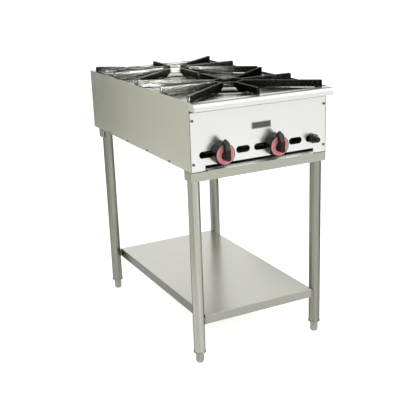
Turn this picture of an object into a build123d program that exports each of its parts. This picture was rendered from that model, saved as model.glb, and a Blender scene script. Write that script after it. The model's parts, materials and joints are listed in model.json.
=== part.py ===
from build123d import *
from math import atan2, cos, degrees, hypot, pi, radians, sin
import os

# Stock pot range on an open stand. Millimetres, +Z up, the control panel faces -Y.
# The origin is at the middle of the overall footprint, on the floor.
# Distances named "back" are measured rearwards from the face of the control panel.

# ---------------------------------------------------------------- body shell
body_width = 500.0          # outside the two side panels
body_depth = 853.0          # control panel face to rear panel face
body_underside = 660.6      # height of the shell's lower edge above the floor
body_height = 218.4         # lower edge to the top edge of the side panels
sheet = 1.5                 # panels, deck, rails and beams
light_sheet = 1.2           # ledge, trims, runners, shelf and bowls
seam = 0.3                  # gap left between two folded panels
bend_radius = 1.5           # centreline radius of the ordinary folds
edge_radius = 1.0           # outer radius of a folded upright edge
bottom_flange = 40.0        # side panel's foot, folded inwards
upright_flange = 22.0       # side panel's front and rear edges, folded inwards
deck_recess = 6.7           # deck face below the side panels' top edge
deck_ledge_width = 13.0     # strip welded inside each side panel to carry the deck

# ---------------------------------------------------------------- stand
leg_diameter = 38.1
leg_wall = 1.5
leg_inset = 21.0            # leg axis in from the side panel's outer face
leg_lower_end = 40.0        # height of the tube's lower end
front_leg_back = 28.5
rear_leg_margin = 84.4      # rear leg axis ahead of the rear panel's face
leg_plate_side = 36.0
leg_plate_thickness = 4.0
rail_height = 31.0
rail_depth = 47.5
rear_rail_margin = 53.0     # rear face of the rear rail, ahead of the rear panel's face
bolt_diameter = 8.0
bolt_head_width = 13.0      # across flats
bolt_head_height = 5.3
bolt_length = 12.0
bolt_hole_clearance = 0.5   # radial, in the sheets
thread_fit = 0.05           # radial, where a thread or a plug fills its hole
hexagon_turn = 30.0         # degrees; sets a nut on its corner instead of its flat

# ---------------------------------------------------------------- feet
socket_rim_lap = 1.65       # collar outside the leg tube, all round
socket_rim_height = 3.0
socket_cone_height = 5.7
socket_mouth_diameter = 29.0
socket_plug_height = 30.0
foot_diameter = 27.0
foot_tip_diameter = 20.0
foot_chamfer_height = 6.0
foot_stem_diameter = 12.0
foot_stem_grip = 36.0       # stem length inside the socket when fully screwed in
foot_stem_fit = 0.08        # radial
rest_gap = 0.3              # between a moving piece and the stop it rests against

# ---------------------------------------------------------------- undershelf
shelf_top = 167.3
shelf_front_lap = 11.9      # shelf's front edge ahead of the front leg axis
shelf_rear_lap = 9.5        # shelf's rear edge ahead of the rear leg axis
shelf_flange = 31.3
shelf_leg_gap = 0.35
stiffener_width = 50.0
stiffener_depth = 18.0
stiffener_foot = 20.0
stiffener_end_gap = 14.0
weld_height = 25.0
weld_overlap = 1.8          # how far a bead reaches past the gap it fills

# ---------------------------------------------------------------- ledge and flue trim
ledge_reach = 38.5          # ahead of the control panel
ledge_top_drop = 2.0        # ledge top below the side panels' top edge
ledge_height = 23.6
ledge_nose_radius = 10.0
ledge_upturn = 8.0          # lip that lies against the control panel
end_cap_thickness = 1.2
flue_depth = 40.6           # trim's front face to the rear panel's face
flue_lip = 13.0             # foot that carries the deck's rear edge
flue_rear_skirt = 9.0
flue_slot_length = 45.0
flue_slot_width = 12.0
flue_slot_pitch = 74.0
flue_slot_count = 5

# ---------------------------------------------------------------- control panel
panel_edge_setback = 0.7    # panel edge in from the side panel's outer face
panel_top_flange = 16.0
panel_foot_gap = 1.2        # under the panel's lower edge
slot_count = 7
slot_row_margin = 55.0      # centre of the row's end slots to the side panel's outer face
slot_length = 49.5
slot_width = 22.0
slot_line_rise = 50.9       # slot row above the shell's lower edge
notch_margin = 50.0         # panel left beside the notch
notch_height = 17.0
panel_screw_inset = 10.0    # from the side panel's outer face
panel_screw_rises = (24.4, 160.4)
badge_width = 70.0
badge_height = 22.0
badge_thickness = 0.8
badge_x = 2.5
badge_rise = 120.4

# ---------------------------------------------------------------- small screws
screw_head_diameter = 8.6
screw_head_height = 2.2
screw_diameter = 4.8
screw_length = 9.0
screw_hole_clearance = 0.15
recess_width = 1.1
recess_length = 5.0
recess_depth = 1.0
side_screw_head_diameter = 6.4
side_screw_head_height = 1.2
side_screw_height = 5.1     # above the shell's lower edge
side_screw_front_margin = 156.0
side_screw_rear_margin = 166.0
side_screw_count = 4

# ---------------------------------------------------------------- drip tray
tray_side_gap = 1.4         # tray wall to notch edge
tray_height = 10.4
tray_sheet = 1.0
tray_front_back = 2.0
tray_rear_margin = 73.0     # tray's rear wall ahead of the rear panel's face
tray_front_height = 5.4     # low front wall that carries the lip
tray_lip_mitre = 7.0        # how much each end of the lip's edge is drawn in
tray_lip_reach = 10.0       # ahead of the control panel
tray_lip_rise = 1.2         # lip edge above the shell's lower edge
runner_support = 13.6       # how far the runner reaches under the tray
runner_guide_gap = 0.7
runner_guide_height = 12.0
runner_lap = 10.0           # runner over the side panel's foot
runner_front_back = 4.0
runner_rear_margin = 53.0

# ---------------------------------------------------------------- burners
deck_opening_radius = 114.0
bowl_lip_lap = 13.0         # bowl's lip beyond the deck opening
bowl_throat_inset = 18.0    # bowl's throat inside the deck opening
bowl_depth = 34.0
bowl_wall_clearance = 1.4   # bowl wall inside the deck opening
beam_width = 44.0
beam_depth = 24.0
beam_drop = 72.3            # beams below the deck face
mixing_tube_radius = 17.0
mixing_tube_bore = 13.0
mixing_tube_bend = 20.0
mixing_tube_approach = 36.0     # straight run ahead of the elbow under the head
mixing_tube_lead = 16.0         # straight run behind the bell
rear_shift_run = 80.0           # length over which the rear tube crosses to the middle
beam_slot_clearance = 1.5
bell_radius = 24.0
bell_wall = 3.0
bell_length = 26.0
mouth_flange_radius = 26.0
mouth_flange_thickness = 4.0
head_boss_radius = 26.0
head_radius = 72.0
head_rim_height = 42.0      # rim above the beam
head_wall = 6.0
head_shelf_drop = 14.0      # upright part of the head's rim
cap_radius = 76.0
cap_plate = 7.0
cap_skirt = 5.0
cap_centre_hole = 16.0
cap_fit = 0.25
port_diameter = 4.0
port_ring_radii = (28.0, 43.0, 58.0)
port_pitch = 13.3

# ---------------------------------------------------------------- gas parts
rear_valve_pitches = -2     # valve's slot, in slot pitches right of the middle
front_valve_pitches = 1
pilot_valve_pitches = 3
valve_offset = 15.0         # valve axis to the left of its slot's centre
valve_front_back = 16.0
valve_body_rear_back = 60.0
valve_body_radius = 11.0
valve_bonnet_width = 24.0
valve_bonnet_length = 5.0
nipple_radius = 6.0
jet_shoulder_width = 17.0
jet_radius = 6.0
jet_fit = 0.08
jet_bore = 1.5
jet_tip_back = 95.0
shutter_setback = 8.9       # air shutter ahead of the jet's tip
shutter_radius = 25.5
shutter_thickness = 1.2
shutter_tab_width = 8.0
shutter_tab_reach = 5.0
air_hole_radius = 16.5      # mid line of the kidney-shaped air holes
air_hole_width = 9.0
air_hole_arc = 70.0
manifold_back = 45.0
manifold_drop = 21.5        # manifold below the valves
pipe_radius = 10.65         # half-inch gas pipe
pipe_bore = 8.0
manifold_left_margin = 40.0     # beyond the rear burner's valve
manifold_right_margin = 7.0     # short of the pilot valve
pipe_cap_radius = 13.5
pipe_cap_length = 14.0
bracket_slot_pitches = 1.5  # bracket from the middle, in slot pitches
bracket_thickness = 3.0
bracket_foot_width = 12.0
bracket_foot_height = 22.0
bracket_reach = 60.0
bracket_half_height = 13.5
supply_pipe_inset = 38.0    # from the side panel's outer face
supply_bend = 16.0
supply_run_gap = 0.3
supply_collar_length = 4.0
inlet_reach = 34.0          # pipe end behind the rear panel
inlet_hole_clearance = 2.0
inlet_nut_width = 30.0
inlet_nut_thickness = 6.0
inlet_groove_width = 5.0    # relief behind the outer nut
inlet_groove_depth = 0.6
pilot_barrel_radius = 7.0
pilot_barrel_front_back = 14.0
pilot_block_back = (38.0, 50.0)
pilot_block_half_width = 9.0
pilot_block_half_height = 7.3
pilot_elbow_offset = 25.0   # elbow to the left of the pilot valve
pilot_branch_radius = 5.0
pilot_nut_radius = 9.5
pilot_nut_height = 7.0
pilot_tube_radius = 2.5
pilot_tube_bend = 14.0
pilot_outlet_offset = (4.5, 4.0)     # outlets from the valve's middle, one up right, one down left
pilot_burner_offset = (75.0, 40.0)   # from the burner's centre
pilot_tube_rise = 25.0               # tube ends above the beams
pilot_burner_radius = 4.5
pilot_burner_height = 20.0
pilot_hood_radius = 6.5
pilot_hood_height = 3.0

# ---------------------------------------------------------------- knobs
knob_gap = 3.0              # knob back to panel face
skirt_radius = 35.5
skirt_face_radius = 33.0
skirt_depth = 30.0
skirt_tip_reach = 39.5
skirt_face_tip_reach = 35.0
skirt_tip_radius = 1.5
inlay_radius = 31.5
inlay_thickness = 1.2
inlay_fit = 0.05
grip_height = 20.0          # ahead of the inlay's face
grip_bulb_radius = 15.0     # round lower end of the grip, at the inlay
grip_bulb_drop = 3.5        # its centre below the knob's axis
grip_face_radius = 8.8      # the same at the grip's face
grip_face_drop = 9.7
grip_neck_half_width = 8.0
grip_barb_half_width = 10.0
grip_barb_reach = 36.5
grip_tip_reach = 48.0
grip_tip_half_width = 1.0
grip_tip_height = 3.0       # pointer's tip, measured back from the inlay's face
grip_slope_start = 17.0     # where the face starts to slope back to the tip
grip_root_height = 12.0     # underside of the pointer where it leaves the skirt
grip_root_reach = 31.0
grip_edge_radius = 0.8
stem_radius = 4.0
stem_fit = 0.08
stem_flat = 1.0
stem_depth_in_knob = 20.0
stem_rear_back = 44.0
pilot_knob_radius = 15.5
pilot_knob_collar = 7.0
pilot_knob_step = 1.0       # cone's foot inside the collar
pilot_knob_tip_radius = 8.6
pilot_knob_length = 33.5
pilot_knob_dome = 2.5
pilot_knob_flutes = 10
pilot_knob_flute_radius = 2.2
pilot_stem_radius = 3.0
pilot_stem_rear_back = 34.0

# ---------------------------------------------------------------- grates
grate_rise = 24.5           # pan support above the deck face
grate_side_gap = 3.0        # to the side panels
grate_front_back = 11.0     # front edge of the front grate
grate_rear_gap = 4.4        # to the flue trim
grate_gap = 17.0            # between the two grates
hub_corner_radius = 55.5    # the hub has a corner at every arm
hub_bore_corner_radius = 46.2
hub_height = 18.0
arm_thickness = 10.0
arm_end_radius = 4.0
arm_foot_length = 22.0
arm_foot_step = 1.7         # arm underside above its foot, over the bowl's lip
arm_depth = 28.0            # inside the deck opening
arm_throat_inset = 4.0      # inside the deck opening, where the underside drops into the bowl
arm_deep_inset = 8.0
arm_rise_radius = 80.0
corner_arm_trim = 4.0       # keeps the corner arms' square ends inside the side panels

# ---------------------------------------------------------------- rear panel
rear_slot_length = 60.0
rear_slot_width = 7.0
rear_slot_pitch = (85.0, 24.0)
rear_slot_count = 5
rear_slot_rows = 2
rear_slot_rise = 139.4      # above the shell's lower edge
rear_screw_rises = (29.4, 109.4, 189.4)

# ---------------------------------------------------------------- derived places
knob_reach = knob_gap + skirt_depth + grip_height
front = (knob_reach - body_depth - inlet_reach) / 2
half_width = body_width / 2
inner_half_width = half_width - sheet
body_top = body_underside + body_height
deck_top = body_top - deck_recess
deck_underside = deck_top - sheet
ledge_top = body_top - ledge_top_drop
ledge_underside = ledge_top - ledge_height
beam_top = deck_top - beam_drop
grate_top = deck_top + grate_rise
pilot_tube_top = beam_top + pilot_tube_rise
panel_screw_heights = [body_underside + rise for rise in panel_screw_rises]
rear_screw_heights = [body_underside + rise for rise in rear_screw_rises]
rail_bottom = body_underside - rail_height
leg_radius = leg_diameter / 2
leg_x = half_width - leg_inset
leg_top = body_underside - sheet - leg_plate_thickness
rear_leg_back = body_depth - rear_leg_margin
flue_front_back = body_depth - flue_depth
slot_pitch = (body_width - 2 * slot_row_margin) / (slot_count - 1)
slot_line = body_underside + slot_line_rise
manifold_line = slot_line - manifold_drop
front_valve_x = front_valve_pitches * slot_pitch - valve_offset
rear_valve_x = rear_valve_pitches * slot_pitch - valve_offset
pilot_valve_x = pilot_valve_pitches * slot_pitch
bowl_lip_radius = deck_opening_radius + bowl_lip_lap
bowl_throat_radius = deck_opening_radius - bowl_throat_inset
arm_throat_radius = deck_opening_radius - arm_throat_inset
arm_deep_radius = deck_opening_radius - arm_deep_inset
pilot_elbow_x = pilot_valve_x - pilot_elbow_offset
manifold_left = rear_valve_x - manifold_left_margin
manifold_right = pilot_valve_x - manifold_right_margin
supply_pipe_x = half_width - supply_pipe_inset
bracket_x = bracket_slot_pitches * slot_pitch
grate_half_width = inner_half_width - grate_side_gap
grate_half_depth = (flue_front_back - grate_rear_gap - grate_gap - grate_front_back) / 4
notch_half_width = half_width - notch_margin
tray_half_width = notch_half_width - tray_side_gap
tray_bottom = body_underside + sheet + light_sheet + rest_gap
panel_half_width = half_width - panel_edge_setback
shutter_back = jet_tip_back - shutter_setback
mouth_back = shutter_back + shutter_thickness + rest_gap
tube_start_back = mouth_back + mouth_flange_thickness + bell_length


def back(distance):
    """Y of a place that lies this far behind the control panel's face."""
    return front + distance


leg_places = {
    "front_left": (-leg_x, back(front_leg_back)),
    "front_right": (leg_x, back(front_leg_back)),
    "rear_left": (-leg_x, back(rear_leg_back)),
    "rear_right": (leg_x, back(rear_leg_back)),
}
burner_backs = {
    "front": grate_front_back + grate_half_depth,
    "rear": flue_front_back - grate_rear_gap - grate_half_depth,
}
valve_places = {"front": front_valve_x, "rear": rear_valve_x}
panel_face = Plane.XZ.offset(-front)


# ---------------------------------------------------------------- helpers
def save(piece, name):
    """Label a finished piece and write it."""
    piece.label = name
    export_step(piece, "parts/" + name + ".step")


def block(x_limits, y_limits, z_limits, mode=Mode.ADD):
    """Box between two limits along each axis, added to the part being built."""
    limits = [sorted(pair) for pair in (x_limits, y_limits, z_limits)]
    sizes = [high - low for low, high in limits]
    middle = tuple((high + low) / 2 for low, high in limits)
    with Locations(middle):
        Box(*sizes, mode=mode)


def rod(plane, radius, length, mode=Mode.ADD):
    """Round bar from a plane along its normal, added to the part being built."""
    with BuildSketch(plane) as end_face:
        Circle(radius)
    extrude(end_face.sketch, amount=length, mode=mode)


def folded_section(plane, points, thickness, radii=bend_radius):
    """Section of a folded sheet that follows a centreline through the points."""
    with BuildSketch(plane) as section:
        with BuildLine():
            FilletPolyline(*points, radius=radii)
        trace(line_width=thickness)
    return section.sketch


def pan_head_screw(plane, head_diameter, head_height):
    """Cross-recessed screw whose head stands on the plane and whose shank runs behind it."""
    rod(plane, head_diameter / 2, head_height)
    rod(plane, screw_diameter / 2, -screw_length)
    with BuildSketch(plane.offset(head_height)) as recess:
        Rectangle(recess_length, recess_width)
        Rectangle(recess_width, recess_length)
    extrude(recess.sketch, amount=-recess_depth, mode=Mode.SUBTRACT)


def facing_front(x, distance, height):
    """Plane that looks out of the control panel, at a place behind its face."""
    return Plane(origin=(x, back(distance), height), x_dir=(1, 0, 0), z_dir=(0, -1, 0))


def facing_rear(x, height):
    """Plane on the rear panel's face, looking rearwards."""
    return Plane(origin=(x, back(body_depth), height), x_dir=(-1, 0, 0), z_dir=(0, 1, 0))


def facing_up(x, y, height):
    """Plane that looks up."""
    return Plane(origin=(x, y, height), x_dir=(1, 0, 0), z_dir=(0, 0, 1))


def facing_side(side, distance, height):
    """Plane on a side panel's outer face, looking outwards."""
    return Plane(origin=(side * half_width, back(distance), height), x_dir=(0, side, 0), z_dir=(side, 0, 0))


# ---------------------------------------------------------------- stand
def build_leg(x, y):
    """Round tube from the foot socket up to the plate under the rail."""
    with BuildPart() as leg:
        rod(facing_up(x, y, leg_lower_end), leg_radius, leg_top - leg_lower_end)
        rod(facing_up(x, y, leg_lower_end), leg_radius - leg_wall, leg_top - leg_lower_end, Mode.SUBTRACT)
    return leg.part


def build_leg_plates():
    """Square plates welded on the leg tops, tapped for the body bolts."""
    with BuildPart() as leg_plates:
        with BuildSketch(Plane.XY.offset(leg_top)):
            with Locations(*leg_places.values()):
                Rectangle(leg_plate_side, leg_plate_side)
                Circle(bolt_diameter / 2 + thread_fit, mode=Mode.SUBTRACT)
        extrude(amount=leg_plate_thickness)
    return leg_plates.part


def build_body_bolts():
    """Hexagon bolts down through the side panel's foot and the rail into the leg plates."""
    head_seat = body_underside + sheet
    with BuildPart() as body_bolts:
        with BuildSketch(Plane.XY.offset(head_seat)):
            with Locations(*leg_places.values()):
                RegularPolygon(bolt_head_width / 2, 6, major_radius=False)
        extrude(amount=bolt_head_height)
        with BuildSketch(Plane.XY.offset(head_seat)):
            with Locations(*leg_places.values()):
                Circle(bolt_diameter / 2)
        extrude(amount=-bolt_length)
    return body_bolts.part


def build_rail(outer_back, inward):
    """Folded rail: a web under the body, an outer flange and two end tabs."""
    web_line = body_underside - sheet / 2
    flange_line = back(outer_back + inward * sheet / 2)
    inner_edge = back(outer_back + inward * rail_depth)
    points = [(flange_line, rail_bottom), (flange_line, web_line), (inner_edge, web_line)]
    with BuildPart() as rail:
        extrude(folded_section(Plane.YZ, points, sheet), amount=half_width - seam, both=True)
        for side in (-1, 1):
            tab = (side * half_width, side * inner_half_width)
            block(tab, (back(outer_back), inner_edge), (rail_bottom, body_underside))
        with BuildSketch(Plane.XY.offset(body_underside)):
            with Locations(*leg_places.values()):
                Circle(bolt_diameter / 2 + bolt_hole_clearance)
        extrude(amount=-2 * sheet, mode=Mode.SUBTRACT)
    return rail.part


def build_foot_socket_group():
    """Sockets pressed into the leg tubes: plug, collar and cone round a threaded bore."""
    plug_radius = leg_radius - leg_wall - thread_fit
    rim_radius = leg_radius + socket_rim_lap
    rim_bottom = leg_lower_end - socket_rim_height
    mouth = rim_bottom - socket_cone_height
    bore = foot_stem_diameter / 2 + foot_stem_fit
    outline = [
        (bore, mouth),
        (socket_mouth_diameter / 2, mouth),
        (leg_radius, rim_bottom),
        (rim_radius, rim_bottom),
        (rim_radius, leg_lower_end),
        (plug_radius, leg_lower_end),
        (plug_radius, leg_lower_end + socket_plug_height),
        (bore, leg_lower_end + socket_plug_height),
    ]
    with BuildPart() as foot_sockets:
        for x, y in leg_places.values():
            with BuildSketch(Plane(origin=(x, y, 0), x_dir=(1, 0, 0), z_dir=(0, -1, 0))):
                with BuildLine():
                    Polyline(*outline, close=True)
                make_face()
            revolve(axis=Axis((x, y, 0), (0, 0, 1)))
    return foot_sockets.part


def build_foot(x, y):
    """Bullet foot with its threaded stem."""
    foot_top = leg_lower_end - socket_rim_height - socket_cone_height - rest_gap
    outline = [
        (0, 0),
        (foot_tip_diameter / 2, 0),
        (foot_diameter / 2, foot_chamfer_height),
        (foot_diameter / 2, foot_top),
        (foot_stem_diameter / 2, foot_top),
        (foot_stem_diameter / 2, foot_top + foot_stem_grip),
        (0, foot_top + foot_stem_grip),
    ]
    with BuildPart() as foot:
        with BuildSketch(Plane(origin=(x, y, 0), x_dir=(1, 0, 0), z_dir=(0, -1, 0))):
            with BuildLine():
                Polyline(*outline, close=True)
            make_face()
        revolve(axis=Axis((x, y, 0), (0, 0, 1)))
    return foot.part


# ---------------------------------------------------------------- undershelf
shelf_half_width = leg_x - leg_radius - shelf_leg_gap
shelf_front_back = front_leg_back - shelf_front_lap
shelf_rear_back = rear_leg_back - shelf_rear_lap
shelf_depth = shelf_rear_back - shelf_front_back
shelf_middle = back((shelf_front_back + shelf_rear_back) / 2)


def build_undershelf():
    """Shelf pan, face up, with all four edges folded down."""
    with BuildPart() as undershelf:
        with BuildSketch(Plane.XY.offset(shelf_top - shelf_flange)):
            with Locations((0, shelf_middle)):
                Rectangle(2 * shelf_half_width, shelf_depth)
        extrude(amount=shelf_flange)
        offset(amount=-light_sheet, openings=undershelf.faces().sort_by(Axis.Z)[0])
        fillet(undershelf.faces().sort_by(Axis.Z)[-1].edges(), bend_radius)
    return undershelf.part


def build_shelf_stiffener():
    """Hat-shaped stiffener spot-welded along the middle of the shelf's underside."""
    seat = shelf_top - light_sheet - light_sheet / 2
    low = seat - stiffener_depth
    half = stiffener_width / 2
    points = [(-half - stiffener_foot, seat), (-half, seat), (-half, low), (half, low), (half, seat)]
    points.append((half + stiffener_foot, seat))
    with BuildPart() as shelf_stiffener:
        section = folded_section(Plane.XZ.offset(-shelf_middle), points, light_sheet)
        extrude(section, amount=shelf_depth / 2 - stiffener_end_gap, both=True)
    return shelf_stiffener.part


def build_shelf_welds():
    """Upright beads that join the shelf's corners to the legs."""
    with BuildPart() as shelf_welds:
        for leg_x_place, leg_y_place in leg_places.values():
            side = 1 if leg_x_place > 0 else -1
            corner_back = shelf_front_back if leg_y_place < shelf_middle else shelf_rear_back
            to_corner = Vector(side * shelf_half_width - leg_x_place, back(corner_back) - leg_y_place)
            gap = to_corner.length - leg_radius
            centre = Vector(leg_x_place, leg_y_place) + to_corner.normalized() * (leg_radius + gap / 2)
            with BuildSketch(Plane.XY.offset(shelf_top - shelf_flange + bend_radius)):
                with Locations(centre):
                    Circle(gap / 2 + weld_overlap)
                with Locations((leg_x_place, leg_y_place)):
                    Circle(leg_radius + thread_fit, mode=Mode.SUBTRACT)
                with Locations((0, shelf_middle)):
                    Rectangle(2 * shelf_half_width, shelf_depth, mode=Mode.SUBTRACT)
            extrude(amount=weld_height)
    return shelf_welds.part


# ---------------------------------------------------------------- body shell
def side_screw_backs():
    """Evenly spaced places of the screws along a side panel's foot."""
    row_end = body_depth - side_screw_rear_margin
    pitch = (row_end - side_screw_front_margin) / (side_screw_count - 1)
    return [side_screw_front_margin + pitch * n for n in range(side_screw_count)]


def build_side_panel(side):
    """Side panel: wall, foot, front and rear edges folded in, and the strip that carries the deck."""
    outer = side * half_width
    inner = side * inner_half_width
    front_edge = back(sheet + seam)
    rear_edge = back(body_depth - sheet - seam)
    flange_end = side * (half_width - upright_flange)
    flange_top = deck_underside - sheet
    with BuildPart() as side_panel:
        block((outer, inner), (front_edge, rear_edge), (body_underside, body_top))
        foot_edge = side * (half_width - bottom_flange)
        block((outer, foot_edge), (front_edge, rear_edge), (body_underside, body_underside + sheet))
        block((outer, flange_end), (front_edge, front_edge + sheet), (body_underside, flange_top))
        block((outer, flange_end), (rear_edge - sheet, rear_edge), (body_underside, flange_top))
        ledge_limits = (inner, side * (inner_half_width - deck_ledge_width))
        ledge_rear = back(flue_front_back - flue_lip)
        block(ledge_limits, (front_edge, ledge_rear), (flange_top, deck_underside))
        uprights = side_panel.edges().filter_by(Axis.Z).filter_by_position(Axis.X, outer - seam, outer + seam)
        fillet(uprights, edge_radius)
        with BuildSketch(Plane.XY.offset(body_underside)):
            with Locations(*leg_places.values()):
                Circle(bolt_diameter / 2 + bolt_hole_clearance)
        extrude(amount=sheet, mode=Mode.SUBTRACT)
        hole = screw_diameter / 2 + screw_hole_clearance
        for distance in side_screw_backs():
            hole_plane = facing_side(side, distance, body_underside + side_screw_height)
            rod(hole_plane, hole, -2 * sheet, Mode.SUBTRACT)
        screw_x = side * (half_width - panel_screw_inset)
        for height in panel_screw_heights:
            rod(facing_front(screw_x, 0, height), hole, -screw_length, Mode.SUBTRACT)
        for height in rear_screw_heights:
            rod(facing_rear(screw_x, height), hole, -screw_length, Mode.SUBTRACT)
    return side_panel.part


def build_control_panel():
    """Flat front panel with its slot row, drip tray notch and a top edge folded back under the deck."""
    low = body_underside + panel_foot_gap
    width_limits = (-panel_half_width, panel_half_width)
    tongue_half_width = inner_half_width - deck_ledge_width - seam
    tongue_limits = (-tongue_half_width, tongue_half_width)
    with BuildPart() as control_panel:
        block(width_limits, (front, back(sheet)), (low, deck_underside))
        block(tongue_limits, (front, back(panel_top_flange)), (deck_underside - sheet, deck_underside))
        with BuildSketch(panel_face):
            with Locations((0, slot_line)):
                with GridLocations(slot_pitch, 1, slot_count, 1):
                    SlotOverall(slot_length, slot_width)
            with Locations((0, body_underside)):
                Rectangle(2 * notch_half_width, 2 * notch_height)
            screw_x = half_width - panel_screw_inset
            with Locations(*[(x, z) for x in (-screw_x, screw_x) for z in panel_screw_heights]):
                Circle(screw_diameter / 2 + screw_hole_clearance)
        extrude(amount=-sheet, mode=Mode.SUBTRACT)
    return control_panel.part


def build_rear_panel():
    """Flat rear panel with cooling slots and the hole for the supply pipe."""
    with BuildPart() as rear_panel:
        depth_limits = (back(body_depth - sheet), back(body_depth))
        block((-panel_half_width, panel_half_width), depth_limits, (body_underside + seam, body_top - seam))
        with BuildSketch(facing_rear(0, 0)):
            with Locations((0, body_underside + rear_slot_rise)):
                with GridLocations(*rear_slot_pitch, rear_slot_count, rear_slot_rows):
                    SlotOverall(rear_slot_length, rear_slot_width)
            with Locations((-supply_pipe_x, manifold_line)):
                Circle(pipe_radius + inlet_hole_clearance)
            screw_x = half_width - panel_screw_inset
            with Locations(*[(x, z) for x in (-screw_x, screw_x) for z in rear_screw_heights]):
                Circle(screw_diameter / 2 + screw_hole_clearance)
        extrude(amount=-sheet, mode=Mode.SUBTRACT)
    return rear_panel.part


def build_front_ledge():
    """Bullnose ledge: one folded sheet from the panel's face round the nose and back to the deck."""
    half = light_sheet / 2
    rear_line = front - seam - half
    nose_line = front - ledge_reach + half
    low = ledge_underside + half
    high = ledge_top - half
    deck_line = back(sheet + half)
    points = [
        (rear_line, ledge_underside + ledge_upturn),
        (rear_line, low),
        (nose_line, low),
        (nose_line, high),
        (deck_line, high),
        (deck_line, deck_underside),
    ]
    radii = [bend_radius, bend_radius, ledge_nose_radius - half, bend_radius]
    with BuildPart() as front_ledge:
        section = folded_section(Plane.YZ, points, light_sheet, radii)
        extrude(section, amount=half_width - end_cap_thickness, both=True)
        notch_from = inner_half_width - seam
        cut_limits = (front, back(2 * bend_radius + sheet))
        for side in (-1, 1):
            end = (side * notch_from, side * half_width)
            block(end, cut_limits, (deck_underside, ledge_top + seam), Mode.SUBTRACT)
    return front_ledge.part


def build_ledge_end_caps():
    """Flat caps welded on the ledge's two ends."""
    outline = [
        (front - seam, ledge_underside),
        (front - ledge_reach, ledge_underside),
        (front - ledge_reach, ledge_top),
        (front - seam, ledge_top),
    ]
    with BuildPart() as ledge_end_caps:
        for side in (-1, 1):
            with BuildSketch(Plane.YZ.offset(side * half_width)):
                with BuildLine():
                    FilletPolyline(*outline, radius=[0, bend_radius, ledge_nose_radius, 0], close=True)
                make_face()
            extrude(amount=-side * end_cap_thickness)
    return ledge_end_caps.part


def build_deck_plate():
    """Flat deck with a round opening over each burner."""
    half = inner_half_width - seam
    deck_limits = (back(sheet + light_sheet + seam), back(flue_front_back - bend_radius))
    with BuildPart() as deck_plate:
        block((-half, half), deck_limits, (deck_underside, deck_top))
        with BuildSketch(Plane.XY.offset(deck_top)):
            with Locations(*[(0, back(place)) for place in burner_backs.values()]):
                Circle(deck_opening_radius)
        extrude(amount=-sheet, mode=Mode.SUBTRACT)
    return deck_plate.part


def build_flue_trim():
    """Slotted trim behind the deck that lets the burner fumes out."""
    half = light_sheet / 2
    riser_line = back(flue_front_back) + half
    lip_line = deck_underside - half
    high = body_top - half
    rear_line = back(body_depth - sheet - seam) - half
    points = [
        (back(flue_front_back - flue_lip), lip_line),
        (riser_line, lip_line),
        (riser_line, high),
        (rear_line, high),
        (rear_line, body_top - flue_rear_skirt),
    ]
    with BuildPart() as flue_trim:
        extrude(folded_section(Plane.YZ, points, light_sheet), amount=inner_half_width - seam, both=True)
        with BuildSketch(Plane.XY.offset(body_top)):
            with Locations((0, (riser_line + rear_line) / 2)):
                with GridLocations(flue_slot_pitch, 1, flue_slot_count, 1):
                    SlotOverall(flue_slot_length, flue_slot_width)
        extrude(amount=-2 * light_sheet, mode=Mode.SUBTRACT)
    return flue_trim.part


def build_badge_plate():
    """Plain plate where a maker would put a name."""
    height = body_underside + badge_rise
    with BuildPart() as badge_plate:
        x_limits = (badge_x - badge_width / 2, badge_x + badge_width / 2)
        z_limits = (height - badge_height / 2, height + badge_height / 2)
        block(x_limits, (front - badge_thickness, front), z_limits)
    return badge_plate.part


def build_control_panel_screws():
    screw_x = half_width - panel_screw_inset
    with BuildPart() as control_panel_screws:
        for x in (-screw_x, screw_x):
            for height in panel_screw_heights:
                pan_head_screw(facing_front(x, 0, height), screw_head_diameter, screw_head_height)
    return control_panel_screws.part


def build_side_panel_screws():
    with BuildPart() as side_panel_screws:
        for side in (-1, 1):
            for distance in side_screw_backs():
                plane = facing_side(side, distance, body_underside + side_screw_height)
                pan_head_screw(plane, side_screw_head_diameter, side_screw_head_height)
    return side_panel_screws.part


def build_rear_panel_screws():
    screw_x = half_width - panel_screw_inset
    with BuildPart() as rear_panel_screws:
        for x in (-screw_x, screw_x):
            for height in rear_screw_heights:
                pan_head_screw(facing_rear(x, height), screw_head_diameter, screw_head_height)
    return rear_panel_screws.part


# ---------------------------------------------------------------- drip tray
def build_tray_runner(side):
    """Runner: a flat strip under the tray's edge with an upright guide beside it."""
    low = body_underside + sheet
    inner_edge = side * (tray_half_width - runner_support)
    outer_edge = side * (half_width - bottom_flange + runner_lap)
    guide = side * (tray_half_width + runner_guide_gap)
    along = (back(runner_front_back), back(body_depth - runner_rear_margin))
    with BuildPart() as tray_runner:
        block((inner_edge, outer_edge), along, (low, low + light_sheet))
        block((guide, guide + side * light_sheet), along, (low, low + light_sheet + runner_guide_height))
    return tray_runner.part


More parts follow.
